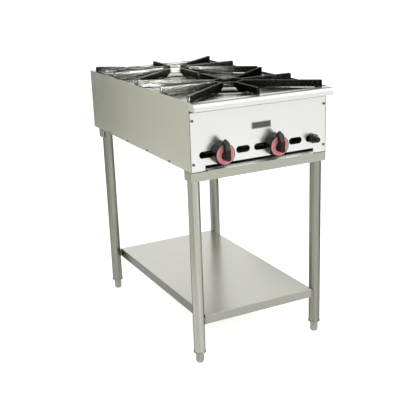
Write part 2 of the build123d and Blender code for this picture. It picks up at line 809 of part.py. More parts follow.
def build_drip_tray():
    """Shallow pan; its low front wall turns out into a slanted, mitred lip that is also its handle."""
    front_wall = (back(tray_front_back), back(tray_front_back + tray_sheet))
    inner_half = tray_half_width - tray_sheet
    lip_top = tray_bottom + tray_front_height
    lip_edge = front - tray_lip_reach
    mitre = [
        (tray_half_width, back(tray_front_back)),
        (tray_half_width, lip_edge - tray_sheet),
        (tray_half_width - tray_lip_mitre, lip_edge - tray_sheet),
    ]
    wall_line = back(tray_front_back + tray_sheet / 2)
    points = [
        (wall_line, tray_bottom + tray_sheet / 2),
        (wall_line, lip_top - tray_sheet / 2),
        (lip_edge, body_underside + tray_lip_rise),
    ]
    with BuildPart() as drip_tray:
        along = (back(tray_front_back), back(body_depth - tray_rear_margin))
        block((-tray_half_width, tray_half_width), along, (tray_bottom, tray_bottom + tray_height))
        offset(amount=-tray_sheet, openings=drip_tray.faces().sort_by(Axis.Z)[-1])
        block((-inner_half, inner_half), front_wall, (lip_top, tray_bottom + tray_height), Mode.SUBTRACT)
        extrude(folded_section(Plane.YZ, points, tray_sheet, tray_sheet), amount=tray_half_width, both=True)
        with BuildSketch(Plane.XY.offset(tray_bottom + tray_height)) as ends:
            with BuildLine():
                Polyline(*mitre, close=True)
            make_face()
            mirror(about=Plane.YZ)
        extrude(ends.sketch, amount=-2 * tray_height, mode=Mode.SUBTRACT)
    return drip_tray.part


# ---------------------------------------------------------------- burners
def build_burner_beam(distance):
    """Cross beam between the side panels, slotted so that the burner's riser slides in."""
    half = beam_width / 2 - sheet / 2
    high = beam_top - sheet / 2
    low = beam_top - beam_depth
    middle = back(distance)
    points = [(middle - half, low), (middle - half, high), (middle + half, high), (middle + half, low)]
    slot = mixing_tube_radius + beam_slot_clearance
    with BuildPart() as burner_beam:
        extrude(folded_section(Plane.YZ, points, sheet), amount=inner_half_width, both=True)
        with BuildSketch(Plane.XY.offset(beam_top)):
            with Locations((0, middle)):
                Circle(slot)
            with Locations((0, middle - beam_width / 2)):
                Rectangle(2 * slot, beam_width)
        extrude(amount=-beam_depth, mode=Mode.SUBTRACT)
    return burner_beam.part


def build_spill_bowl(distance):
    """Pressed bowl that hangs in the deck opening by its lip."""
    half = light_sheet / 2
    wall_top = deck_opening_radius - bowl_wall_clearance
    lip_line = deck_top + half
    points = [(bowl_lip_radius, lip_line), (wall_top, lip_line), (bowl_throat_radius, lip_line - bowl_depth)]
    with BuildPart() as spill_bowl:
        section = folded_section(facing_front(0, distance, 0), points, light_sheet)
        revolve(section, axis=Axis((0, back(distance), 0), (0, 0, 1)))
    return spill_bowl.part


def air_holes():
    """Two kidney-shaped air holes, cut from the sketch being drawn."""
    across = air_hole_radius * cos(radians(air_hole_arc / 2))
    along = air_hole_radius * sin(radians(air_hole_arc / 2))
    for side in (-1, 1):
        with BuildLine() as middle_line:
            ThreePointArc((side * across, -along), (side * air_hole_radius, 0), (side * across, along))
        SlotArc(middle_line.edge(), air_hole_width, mode=Mode.SUBTRACT)


def build_burner(valve_x, distance):
    """Burner casting: air mouth, bell, bent mixing tube and the open head on its riser."""
    centre = back(distance)
    tube_start = back(tube_start_back)
    bend_end = centre - mixing_tube_approach
    shift_start = max(tube_start + mixing_tube_lead, bend_end - rear_shift_run)
    route_points = [
        (valve_x, tube_start, slot_line),
        (valve_x, shift_start, slot_line),
        (0, bend_end, slot_line),
        (0, centre, slot_line),
        (0, centre, beam_top),
    ]
    rim = beam_top + head_rim_height
    shelf = rim - head_shelf_drop
    boss_top = beam_top + head_wall
    head = [
        (mixing_tube_bore, beam_top),
        (head_boss_radius, beam_top),
        (head_boss_radius, boss_top),
        (head_radius, shelf),
        (head_radius, rim),
        (head_radius - head_wall, rim),
        (head_radius - head_wall, shelf + head_wall / 2),
        (mixing_tube_bore, boss_top + head_wall),
    ]
    mouth_rear = mouth_back + mouth_flange_thickness
    bell = [
        (bell_radius, mouth_rear),
        (bell_radius - bell_wall, mouth_rear),
        (mixing_tube_bore, mouth_rear + bell_length),
        (mixing_tube_radius, mouth_rear + bell_length),
    ]
    with BuildPart() as burner:
        with BuildLine() as route:
            FilletPolyline(*route_points, radius=mixing_tube_bend)
        with BuildSketch(Plane(origin=route.line @ 0, z_dir=route.line % 0)):
            Circle(mixing_tube_radius)
            Circle(mixing_tube_bore, mode=Mode.SUBTRACT)
        sweep()
        with BuildSketch(Plane(origin=(0, centre, 0), x_dir=(1, 0, 0), z_dir=(0, -1, 0))):
            with BuildLine():
                Polyline(*head, close=True)
            make_face()
        revolve(axis=Axis((0, centre, 0), (0, 0, 1)))
        with BuildSketch(Plane(origin=(valve_x, front, slot_line), x_dir=(1, 0, 0), z_dir=(0, 0, 1))):
            with BuildLine():
                Polyline(*bell, close=True)
            make_face()
        revolve(axis=Axis((valve_x, front, slot_line), (0, 1, 0)))
        with BuildSketch(facing_front(valve_x, mouth_back, slot_line)):
            Circle(mouth_flange_radius)
            Circle(jet_radius + beam_slot_clearance, mode=Mode.SUBTRACT)
            air_holes()
        extrude(amount=-mouth_flange_thickness)
    return burner.part


def build_burner_cap(distance):
    """Ported cap that drops onto the burner head."""
    centre = back(distance)
    seat = beam_top + head_rim_height + thread_fit
    skirt_radius_inside = head_radius - head_wall - cap_fit
    with BuildPart() as burner_cap:
        with BuildSketch(facing_up(0, centre, seat)):
            Circle(cap_radius)
        extrude(amount=cap_plate)
        fillet(burner_cap.faces().sort_by(Axis.Z)[-1].edges(), cap_plate / 2)
        with BuildSketch(facing_up(0, centre, seat)):
            Circle(skirt_radius_inside)
            Circle(skirt_radius_inside - head_wall / 2, mode=Mode.SUBTRACT)
        extrude(amount=-cap_skirt)
        with BuildSketch(facing_up(0, centre, seat + cap_plate)):
            Circle(cap_centre_hole)
            for ring_radius in port_ring_radii:
                with PolarLocations(ring_radius, round(2 * pi * ring_radius / port_pitch)):
                    Circle(port_diameter / 2)
        extrude(amount=-cap_plate, mode=Mode.SUBTRACT)
    return burner_cap.part


def build_air_shutter(valve_x):
    """Disc that turns on the jet to cover or clear the air holes."""
    with BuildPart() as air_shutter:
        with BuildSketch(facing_front(valve_x, shutter_back, slot_line)):
            Circle(shutter_radius)
            with Locations((0, shutter_radius)):
                Rectangle(shutter_tab_width, 2 * shutter_tab_reach)
            Circle(jet_radius + jet_fit, mode=Mode.SUBTRACT)
            air_holes()
        extrude(amount=-shutter_thickness)
    return air_shutter.part


# ---------------------------------------------------------------- gas parts
def build_gas_valve(valve_x):
    """Brass valve: body along the knob axis and a nipple down into the manifold."""
    with BuildPart() as gas_valve:
        body_length = valve_body_rear_back - valve_front_back
        rod(facing_front(valve_x, valve_body_rear_back, slot_line), valve_body_radius, body_length)
        with BuildSketch(facing_front(valve_x, valve_front_back + valve_bonnet_length, slot_line)):
            RegularPolygon(valve_bonnet_width / 2, 6, major_radius=False)
        extrude(amount=valve_bonnet_length)
        nipple_foot = manifold_line + pipe_bore
        rod(facing_up(valve_x, back(manifold_back), nipple_foot), nipple_radius, slot_line - nipple_foot)
        stem_room = stem_rear_back - valve_front_back + rest_gap
        bore_plane = facing_front(valve_x, valve_front_back, slot_line)
        rod(bore_plane, stem_radius + stem_fit, -stem_room, Mode.SUBTRACT)
    return gas_valve.part


def build_gas_jets():
    """Jet holders screwed into the valves' rear ends; each neck carries an air shutter."""
    shoulder_end = shutter_back - rest_gap
    with BuildPart() as gas_jets:
        for valve_x in valve_places.values():
            with BuildSketch(facing_front(valve_x, shoulder_end, slot_line)):
                RegularPolygon(jet_shoulder_width / 2, 6, major_radius=False)
            extrude(amount=shoulder_end - valve_body_rear_back)
            rod(facing_front(valve_x, shoulder_end, slot_line), jet_radius, shoulder_end - jet_tip_back)
            bore = facing_front(valve_x, jet_tip_back, slot_line)
            rod(bore, jet_bore, jet_tip_back - valve_body_rear_back, Mode.SUBTRACT)
    return gas_jets.part


def build_valve_stem(valve_x):
    """Stem from inside the valve to inside the knob, with a flat for the knob."""
    knob_face = -(knob_gap + stem_depth_in_knob)
    with BuildPart() as valve_stem:
        rod(facing_front(valve_x, stem_rear_back, slot_line), stem_radius, stem_rear_back - knob_face)
        flat_from = slot_line - stem_radius + stem_flat
        x_limits = (valve_x - stem_radius, valve_x + stem_radius)
        block(x_limits, (back(knob_face), front), (flat_from, slot_line - stem_radius), Mode.SUBTRACT)
    return valve_stem.part


def build_gas_manifold():
    """Pipe behind the control panel, capped at its left end and drilled for the valves."""
    taps = [front_valve_x, rear_valve_x, pilot_elbow_x]
    tap_radii = [nipple_radius, nipple_radius, pilot_branch_radius]
    pipe_plane = Plane(origin=(manifold_left, back(manifold_back), manifold_line), z_dir=(1, 0, 0))
    with BuildPart() as gas_manifold:
        rod(pipe_plane, pipe_radius, manifold_right - manifold_left)
        with BuildSketch(pipe_plane.offset(-pipe_cap_length / 2)):
            RegularPolygon(pipe_cap_radius, 6, major_radius=False)
        extrude(amount=pipe_cap_length)
        rod(pipe_plane, pipe_bore, manifold_right - manifold_left, Mode.SUBTRACT)
        for x, radius in zip(taps, tap_radii):
            tap_plane = facing_up(x, back(manifold_back), manifold_line)
            rod(tap_plane, radius + thread_fit, 2 * pipe_radius, Mode.SUBTRACT)
    return gas_manifold.part


def build_manifold_brackets():
    """Plates that stand off the control panel's back and hold the manifold."""
    low = manifold_line - bracket_half_height
    high = manifold_line + bracket_half_height
    with BuildPart() as manifold_brackets:
        for x in (-bracket_x, bracket_x):
            plate = (x - bracket_thickness / 2, x + bracket_thickness / 2)
            block(plate, (back(sheet), back(bracket_reach)), (low, high))
            foot = (x - bracket_foot_width / 2, x + bracket_foot_width / 2)
            foot_limits = (high - bracket_foot_height, high)
            block(foot, (back(sheet), back(sheet + bracket_thickness)), foot_limits)
            hole_plane = Plane(origin=(x, back(manifold_back), manifold_line), z_dir=(1, 0, 0))
            with BuildSketch(hole_plane):
                Circle(pipe_radius + thread_fit)
            extrude(amount=bracket_thickness, both=True, mode=Mode.SUBTRACT)
    return manifold_brackets.part


def build_supply_pipe():
    """Pipe from the manifold's right end round to the back, where the gas line is joined."""
    start = manifold_right + supply_run_gap
    corner = (supply_pipe_x, back(manifold_back), manifold_line)
    end = (supply_pipe_x, back(body_depth + inlet_reach), manifold_line)
    with BuildPart() as supply_pipe:
        with BuildLine() as route:
            FilletPolyline((start, back(manifold_back), manifold_line), corner, end, radius=supply_bend)
        with BuildSketch(Plane(origin=route.line @ 0, z_dir=route.line % 0)):
            Circle(pipe_radius)
            Circle(pipe_bore, mode=Mode.SUBTRACT)
        sweep()
        with BuildSketch(facing_rear(supply_pipe_x, manifold_line).offset(inlet_nut_thickness)):
            Circle(pipe_radius)
            Circle(pipe_radius - inlet_groove_depth, mode=Mode.SUBTRACT)
        extrude(amount=inlet_groove_width, mode=Mode.SUBTRACT)
        with BuildSketch(Plane(origin=(start, back(manifold_back), manifold_line), z_dir=(1, 0, 0))):
            RegularPolygon(pipe_cap_radius, 6, major_radius=False, rotation=hexagon_turn)
            Circle(pipe_radius - thread_fit, mode=Mode.SUBTRACT)
        extrude(amount=supply_collar_length)
    return supply_pipe.part


def build_inlet_nuts():
    """Two nuts that clamp the supply pipe on the rear panel, one each side of it."""
    outer_face = back(body_depth)
    inner_face = back(body_depth - sheet)
    with BuildPart() as inlet_nuts:
        for face, direction in ((outer_face, 1), (inner_face, -1)):
            centre = (supply_pipe_x, face, manifold_line)
            with BuildSketch(Plane(origin=centre, x_dir=(1, 0, 0), z_dir=(0, direction, 0))):
                RegularPolygon(inlet_nut_width / 2, 6, major_radius=False, rotation=hexagon_turn)
                Circle(pipe_radius + thread_fit, mode=Mode.SUBTRACT)
            extrude(amount=inlet_nut_thickness)
    return inlet_nuts.part


def build_pilot_valve():
    """Small valve for the pilots: elbow off the manifold, branch, barrel and outlet block."""
    elbow_y = back(manifold_back)
    nipple_foot = manifold_line + pipe_bore
    nut_seat = manifold_line + pipe_radius
    with BuildPart() as pilot_valve:
        barrel_plane = facing_front(pilot_valve_x, pilot_block_back[0], slot_line)
        rod(barrel_plane, pilot_barrel_radius, pilot_block_back[0] - pilot_barrel_front_back)
        x_limits = (pilot_valve_x - pilot_block_half_width, pilot_valve_x + pilot_block_half_width)
        z_limits = (slot_line - pilot_block_half_height, slot_line + pilot_block_half_height)
        block(x_limits, (back(pilot_block_back[0]), back(pilot_block_back[1])), z_limits)
        elbow_plane = facing_up(pilot_elbow_x, elbow_y, nipple_foot)
        rod(elbow_plane, pilot_branch_radius, slot_line - nipple_foot)
        with BuildSketch(facing_up(pilot_elbow_x, elbow_y, nut_seat)):
            RegularPolygon(pilot_nut_radius, 6, major_radius=False)
        extrude(amount=pilot_nut_height)
        branch_plane = Plane(origin=(pilot_elbow_x, elbow_y, slot_line), z_dir=(1, 0, 0))
        rod(branch_plane.offset(-pilot_branch_radius), pilot_branch_radius, pilot_valve_x - pilot_elbow_x)
        bore_plane = facing_front(pilot_valve_x, pilot_barrel_front_back, slot_line)
        stem_room = pilot_stem_rear_back - pilot_barrel_front_back + rest_gap
        rod(bore_plane, pilot_stem_radius + stem_fit, -stem_room, Mode.SUBTRACT)
    return pilot_valve.part


def pilot_burner_place(distance):
    """Where a pilot burner stands beside the burner at this distance."""
    across, behind = pilot_burner_offset
    return across, back(distance + behind)


def build_pilot_tubes():
    """Small tubes from the pilot valve to the pilot burners."""
    start = back(pilot_block_back[1])
    across, up = pilot_outlet_offset
    with BuildPart() as pilot_tubes:
        for side, distance in zip((1, -1), burner_backs.values()):
            outlet_x = pilot_valve_x + side * across
            outlet_z = slot_line + side * up
            place_x, place_y = pilot_burner_place(distance)
            turn_y = place_y - pilot_burner_offset[1]
            route_points = [
                (outlet_x, start, outlet_z),
                (outlet_x, turn_y, outlet_z),
                (place_x, place_y, outlet_z),
                (place_x, place_y, pilot_tube_top),
            ]
            with BuildLine() as route:
                FilletPolyline(*route_points, radius=pilot_tube_bend)
            with BuildSketch(Plane(origin=route.line @ 0, z_dir=route.line % 0)):
                Circle(pilot_tube_radius)
            sweep(path=route.line)
    return pilot_tubes.part


def build_pilot_burners():
    """Small upright burners with a hood, on the ends of the pilot tubes."""
    with BuildPart() as pilot_burners:
        for distance in burner_backs.values():
            x, y = pilot_burner_place(distance)
            rod(facing_up(x, y, pilot_tube_top), pilot_burner_radius, pilot_burner_height)
            hood_seat = pilot_tube_top + pilot_burner_height
            rod(facing_up(x, y, hood_seat), pilot_hood_radius, pilot_hood_height)
    return pilot_burners.part


# ---------------------------------------------------------------- knobs
def skirt_outline(radius, tip_reach):
    """Round outline with a small point at the top, drawn in the sketch being made."""
    Circle(radius)
    with Locations((0, tip_reach - skirt_tip_radius)):
        Circle(skirt_tip_radius)
    make_hull()


def pointer_outline(growth=0.0):
    """Outline of the pointer: a straight neck up from the bulb, two barbs and a tip."""
    neck = grip_neck_half_width + growth
    right_side = [
        (neck, -grip_bulb_drop),
        (neck, grip_root_reach),
        (grip_barb_half_width + growth, grip_barb_reach),
        (grip_tip_half_width, grip_tip_reach),
    ]
    left_side = [(-x, y) for x, y in reversed(right_side)]
    with BuildLine() as outline:
        Polyline(*right_side, *left_side, close=True)
    make_face(outline.edges())


def build_grip(inlay_face):
    """Grip: a round-ended bar whose upper end runs out into a pointer over the skirt's edge."""
    grip_foot = inlay_face.offset(-inlay_thickness)
    grip_face = inlay_face.offset(grip_height)
    # The grip seen from the side: distance from the knob's axis, height over the inlay's face.
    side_view = [
        (-grip_bulb_drop, -inlay_thickness),
        (-grip_bulb_drop, grip_height),
        (grip_slope_start, grip_height),
        (grip_tip_reach, grip_tip_height),
        (grip_tip_reach, -grip_tip_height),
        (grip_root_reach, -grip_root_height),
        (grip_root_reach - grip_root_height, -inlay_thickness),
    ]
    with BuildPart() as grip:
        with BuildSketch(inlay_face.offset(-skirt_depth)):
            pointer_outline()
        extrude(amount=skirt_depth + grip_height)
        with BuildSketch(Plane(origin=inlay_face.origin, x_dir=(0, 0, 1), z_dir=(1, 0, 0))):
            with BuildLine():
                Polyline(*side_view, close=True)
            make_face()
        extrude(amount=skirt_radius, both=True, mode=Mode.INTERSECT)
        with BuildSketch(grip_foot):
            with Locations((0, -grip_bulb_drop)):
                Circle(grip_bulb_radius)
        with BuildSketch(grip_face):
            with Locations((0, -grip_face_drop)):
                Circle(grip_face_radius)
        loft()
    return grip.part


def build_knob(valve_x):
    """Control knob: slightly pointed skirt, round seat for the inlay and the grip.

    It is made on its own axis, where that meets the panel's face, and then put in its place.
    """
    knob_back = Plane.XZ.offset(knob_gap)
    face_plane = knob_back.offset(skirt_depth)
    grip = build_grip(face_plane)
    with BuildPart() as knob:
        with BuildSketch(knob_back):
            skirt_outline(skirt_radius, skirt_tip_reach)
        with BuildSketch(face_plane):
            skirt_outline(skirt_face_radius, skirt_face_tip_reach)
        loft(ruled=True)
        rod(face_plane, inlay_radius, -inlay_thickness, Mode.SUBTRACT)
        add(grip)
        fillet(knob.faces().sort_by(Axis.Y)[0].edges(), grip_edge_radius)
        with BuildSketch(knob_back):
            Circle(stem_radius + thread_fit)
            with Locations((0, -2 * stem_radius + stem_flat - thread_fit)):
                Rectangle(4 * stem_radius, 2 * stem_radius, mode=Mode.SUBTRACT)
        extrude(amount=stem_depth_in_knob + thread_fit, mode=Mode.SUBTRACT)
    return Pos(valve_x, front, slot_line) * knob.part


def build_knob_inlay(valve_x):
    """Coloured inlay that shows as a crescent each side of the grip."""
    seat_plane = facing_front(valve_x, -knob_gap - skirt_depth + inlay_thickness, slot_line)
    with BuildPart() as knob_inlay:
        rod(seat_plane, inlay_radius - inlay_fit, inlay_thickness)
        with BuildSketch(seat_plane):
            pointer_outline(inlay_fit)
            with Locations((0, -grip_bulb_drop)):
                Circle(grip_bulb_radius + inlay_fit)
        extrude(amount=inlay_thickness, mode=Mode.SUBTRACT)
    return knob_inlay.part


def build_pilot_knob():
    """Fluted conical knob on its own short stem."""
    knob_back = facing_front(pilot_valve_x, -knob_gap, slot_line)
    cone_base = knob_back.offset(pilot_knob_collar)
    cone_length = pilot_knob_length - pilot_knob_collar
    with BuildPart() as pilot_knob:
        rod(knob_back, pilot_knob_radius, pilot_knob_collar)
        with BuildSketch(cone_base):
            Circle(pilot_knob_radius - pilot_knob_step)
        with BuildSketch(cone_base.offset(cone_length)):
            Circle(pilot_knob_tip_radius)
        loft()
        fillet(pilot_knob.faces().sort_by(Axis.Y)[0].edges(), pilot_knob_dome)
        with BuildSketch(cone_base):
            with PolarLocations(pilot_knob_radius, pilot_knob_flutes):
                Circle(pilot_knob_flute_radius)
        extrude(amount=cone_length, mode=Mode.SUBTRACT)
        rod(knob_back, pilot_stem_radius, -(knob_gap + pilot_stem_rear_back))
    return pilot_knob.part


# ---------------------------------------------------------------- grates
def grate_arms():
    """Angle and reach of each arm: four square to the body and four to the corners."""
    corner = degrees(atan2(grate_half_depth, grate_half_width))
    corner_reach = hypot(grate_half_depth, grate_half_width) - corner_arm_trim
    half_turn = degrees(pi)
    arms = []
    for turn in (0, half_turn):
        arms.append((turn, grate_half_width))
        arms.append((turn + corner, corner_reach))
        arms.append((turn + half_turn / 2, grate_half_depth))
        arms.append((turn + half_turn - corner, corner_reach))
    return arms


def hub_outline(corner_radius, mode=Mode.ADD):
    """Eight-sided outline with a corner at every arm, drawn in the sketch being made."""
    turns = [radians(angle) for angle, reach in grate_arms()]
    with BuildLine() as outline:
        Polyline(*[(corner_radius * cos(turn), corner_radius * sin(turn)) for turn in turns], close=True)
    make_face(outline.edges(), mode=mode)


def build_grate(distance):
    """Cast grate: eight free-ended arms on an eight-sided hub."""
    centre = back(distance)
    foot = deck_top + rest_gap
    deep = grate_top - arm_depth
    hub_low = grate_top - hub_height
    hub_middle = (hub_corner_radius + hub_bore_corner_radius) / 2
    with BuildPart() as grate:
        with BuildSketch(facing_up(0, centre, hub_low)):
            hub_outline(hub_corner_radius)
        extrude(amount=hub_height)
        for angle, reach in grate_arms():
            points = [
                (hub_middle, grate_top),
                (reach, grate_top),
                (reach, foot),
                (reach - arm_foot_length, foot),
                (reach - arm_foot_length - arm_foot_step, foot + arm_foot_step),
                (arm_throat_radius, foot + arm_foot_step),
                (arm_deep_radius, deep),
                (arm_rise_radius, deep),
                (hub_corner_radius, hub_low),
                (hub_middle, hub_low),
            ]
            radii = [0, arm_end_radius, 0, 0, 0, 0, 0, 0, 0, 0]
            arm_plane = Plane(origin=(0, centre, 0), x_dir=(1, 0, 0), z_dir=(0, -1, 0)).rotated((0, 0, angle))
            with BuildSketch(arm_plane):
                with BuildLine():
                    FilletPolyline(*points, radius=radii, close=True)
                make_face()
            extrude(amount=arm_thickness / 2, both=True)
        with BuildSketch(facing_up(0, centre, hub_low)):
            hub_outline(hub_bore_corner_radius)
        extrude(amount=hub_height, mode=Mode.SUBTRACT)
    return grate.part


# ---------------------------------------------------------------- make and write every piece
os.makedirs("parts", exist_ok=True)

for corner, (x, y) in leg_places.items():
    save(build_leg(x, y), "leg_" + corner)
    save(build_foot(x, y), "foot_" + corner)
save(build_leg_plates(), "leg_plates")
save(build_body_bolts(), "body_bolts")
save(build_foot_socket_group(), "foot_sockets")
save(build_rail(0, 1), "front_rail")
save(build_rail(body_depth - rear_rail_margin, -1), "rear_rail")
save(build_undershelf(), "undershelf")
save(build_shelf_stiffener(), "shelf_stiffener")
save(build_shelf_welds(), "shelf_welds")

for side, name in ((-1, "left"), (1, "right")):
    save(build_side_panel(side), "side_panel_" + name)
    save(build_tray_runner(side), "tray_runner_" + name)
save(build_control_panel(), "control_panel")
save(build_rear_panel(), "rear_panel")
save(build_front_ledge(), "front_ledge")
save(build_ledge_end_caps(), "ledge_end_caps")
save(build_deck_plate(), "deck_plate")
save(build_flue_trim(), "flue_trim")
save(build_badge_plate(), "badge_plate")
save(build_control_panel_screws(), "control_panel_screws")
save(build_side_panel_screws(), "side_panel_screws")
save(build_rear_panel_screws(), "rear_panel_screws")
save(build_drip_tray(), "drip_tray")

for name, distance in burner_backs.items():
    valve_x = valve_places[name]
    save(build_burner_beam(distance), "burner_beam_" + name)
    save(build_spill_bowl(distance), "spill_bowl_" + name)
    save(build_burner(valve_x, distance), "burner_" + name)
    save(build_burner_cap(distance), "burner_cap_" + name)
    save(build_air_shutter(valve_x), "air_shutter_" + name)
    save(build_gas_valve(valve_x), "gas_valve_" + name)
    save(build_valve_stem(valve_x), "valve_stem_" + name)
    save(build_knob(valve_x), "knob_" + name)
    save(build_knob_inlay(valve_x), "knob_inlay_" + name)
    save(build_grate(distance), "grate_" + name)

save(build_gas_jets(), "gas_jets")
save(build_gas_manifold(), "gas_manifold")
save(build_manifold_brackets(), "manifold_brackets")
save(build_supply_pipe(), "supply_pipe")
save(build_inlet_nuts(), "inlet_nuts")
save(build_pilot_valve(), "pilot_valve")
save(build_pilot_tubes(), "pilot_tubes")
save(build_pilot_burners(), "pilot_burners")
save(build_pilot_knob(), "pilot_knob")
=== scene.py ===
import json
import math

import bmesh
import bpy
from mathutils import Matrix, Vector

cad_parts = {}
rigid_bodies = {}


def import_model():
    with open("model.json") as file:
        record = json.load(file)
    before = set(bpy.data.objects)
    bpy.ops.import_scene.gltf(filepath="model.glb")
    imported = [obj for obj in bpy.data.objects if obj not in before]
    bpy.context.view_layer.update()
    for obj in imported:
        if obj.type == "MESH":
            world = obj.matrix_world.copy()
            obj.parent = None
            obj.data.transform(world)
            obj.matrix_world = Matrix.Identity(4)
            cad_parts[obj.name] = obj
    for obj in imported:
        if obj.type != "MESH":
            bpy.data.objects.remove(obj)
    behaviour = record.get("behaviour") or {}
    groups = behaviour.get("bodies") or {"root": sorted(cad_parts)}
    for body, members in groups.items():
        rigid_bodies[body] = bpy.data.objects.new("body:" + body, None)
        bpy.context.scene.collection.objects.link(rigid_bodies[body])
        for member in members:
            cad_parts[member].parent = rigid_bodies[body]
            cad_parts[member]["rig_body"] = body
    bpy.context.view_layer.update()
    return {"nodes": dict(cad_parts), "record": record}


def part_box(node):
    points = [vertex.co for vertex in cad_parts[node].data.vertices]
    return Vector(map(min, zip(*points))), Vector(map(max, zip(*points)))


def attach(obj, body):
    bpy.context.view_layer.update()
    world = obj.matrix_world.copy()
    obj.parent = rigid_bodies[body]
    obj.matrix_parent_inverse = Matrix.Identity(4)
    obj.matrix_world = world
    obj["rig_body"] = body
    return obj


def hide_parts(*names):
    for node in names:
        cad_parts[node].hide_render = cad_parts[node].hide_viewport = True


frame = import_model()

MM = 0.001

# ---------------------------------------------------------------- view and studio
view_aim = Vector((0.0303, 0.0092, 0.3779))
view_distance = 3.061
view_azimuth = math.radians(-27.18)
view_elevation = math.radians(17.84)
view_roll = math.radians(-1.88)
lens_length = 69.9          # mm, on a sensor 36 mm wide
sensor_width = 36.0
floor_side = 30.0
floor_glow = 0.42           # what the floor adds, so that the steel reflects it as white paper
floor_lift = 0.3            # what it adds beyond that for the camera
surroundings_light = 0.62   # how strongly the white surroundings light dull surfaces
card_height = 0.8
card_turn = math.radians(90)        # every card stands along the depth
lamp_aim = (0, 0, 0.6)      # where the two large lamps point

# ---------------------------------------------------------------- edges
cast_edge = 1.6 * MM        # worn corner of sand-cast iron
moulded_edge = 0.5 * MM     # corner of a moulded plastic piece
joined_corner = 0.01 * MM   # corners of the frame's triangles closer than this are one
flat_angle = math.radians(1)        # triangles that meet at less than this make one face
sharp_angle = math.radians(35)      # an edge that turns more than this is rounded
rounding_steps = 3
upright = math.radians(90)          # turns a flat sheet on end

# ---------------------------------------------------------------- patterns
# Sizes are in millimetres and become a pattern's scale as 1000 / size; depths are in metres.
across_grain = (240, 2.0, 2.0)      # belt lines ground from side to side
deep_grain = (2.0, 280, 2.0)        # belt lines ground from front to back
scuff_size = 90             # cloudy patches that handling leaves on sheet
wave_size = 260             # how far apart rolled sheet rises and falls
wipe_size = (60, 140, 60)   # strokes of the wiping cloth on the deck
buckle_size = 170           # shallow buckles of the deck
streak_size = (5, 5, 400)   # polishing streaks along a tube
smear_size = 45             # duller smears on a tube
dimple_size = 5             # the sand's grain on cast iron
lump_size = 13              # uneven skin below that grain
blotch_size = 20            # blotches of black scale on cast iron
grit_size = 0.8             # fine texture of paint and plastic
line_depth = 0.006 * MM     # relief of the belt lines
buckle_depth = 0.4 * MM     # relief of the deck's buckles
streak_depth = 0.02 * MM    # relief of a tube's streaks
lump_depth = 0.6 * MM       # relief of the iron's uneven skin
noise_low = 0.3             # nearly all values of a noise pattern lie from here
noise_high = 0.7            # to here

# ---------------------------------------------------------------- painted shade, reflection and highlight, grease and wear
painted_seam_shade = "6A6A62"       # painted shade in the seams and below the ledge, where the gaps between parts are dark
seam_width = 2.4 * MM       # drawn wider than the real 0.5 mm, so that it shows
under_ledge = 9.0 * MM      # how far the painted shade below the ledge reaches down the panel
left_flange_shade = "82827A"        # painted shade: the shelf's left flange is drawn darker than its top
front_flange_shade = "ACACA3"       # and its front flange a little darker, also painted shade
flange_skin = 1.5 * MM      # how deep those two tones reach from the flanges' faces
painted_bend_reflection = "94948E"       # painted reflection: a darker band along the ledge's upper bend
bend_setback = 13.5 * MM    # from the ledge's nose to the middle of that bend
bend_width = 16.0 * MM
baked_grease_and_shade = "211D19"     # burnt drippings in the tray, drawn dark also as painted shade inside the tray behind the panel
thin_grease_and_shade = 0.72          # how much of the steel's tone they hide where they are thin
thick_grease_and_shade = 0.98
worn_and_highlit_iron = "70706A"        # pots rub the grates' top faces bright, and those faces are also drawn lighter as a painted highlight
worn_and_highlit_depth = 0.8 * MM       # how far down from those faces the iron is drawn lighter
tube_edge = "40403A"        # painted reflection: a tube's sheen is tinted darker towards its outline, as where it mirrors the dim sides of the studio
iron_edge = "6A6A6A"        # bare iron loses its sheen towards an outline

# ---------------------------------------------------------------- badge
badge_rim_width = 2.2 * MM
badge_rim_rise = 0.5 * MM


# ---------------------------------------------------------------- helpers
def linear(hex_colour):
    """Linear RGBA of an sRGB hex value."""
    shares = [int(hex_colour[start:start + 2], 16) / 255 for start in (0, 2, 4)]
    return [s / 12.92 if s <= 0.04045 else ((s + 0.055) / 1.055) ** 2.4 for s in shares] + [1.0]


def features(*sizes_mm):
    """Mapping scale at which a pattern's features are this long, in millimetres, along X, Y and Z."""
    return [1000.0 / size for size in sizes_mm]


def add_node(tree, kind, settings=None, links=None):
    """Add a shader node, give it its settings, and link its inputs.

    A key is the name or the number of an input, or else the name of a property of the node.
    """
    node = tree.nodes.new(kind)
    for key, value in (settings or {}).items():
        if isinstance(key, int) or key in node.inputs:
            node.inputs[key].default_value = value
        else:
            setattr(node, key, value)
    for key, source in (links or {}).items():
        tree.links.new(source, node.inputs[key])
    return node


def new_material(name):
    """Empty material, its tree, and the Object coordinates that its patterns follow."""
    material = bpy.data.materials.new(name)
    material.use_nodes = True
    tree = material.node_tree
    tree.nodes.clear()
    place = add_node(tree, "ShaderNodeTexCoord").outputs["Object"]
    return material, tree, place


def new_piece(name, form, material):
    """Object in the scene with this finished form, all of one material."""
    mesh = bpy.data.meshes.new(name)
    form.to_mesh(mesh)
    form.free()
    mesh.materials.append(material)
    piece = bpy.data.objects.new(name, mesh)
    bpy.context.scene.collection.objects.link(piece)
    return piece


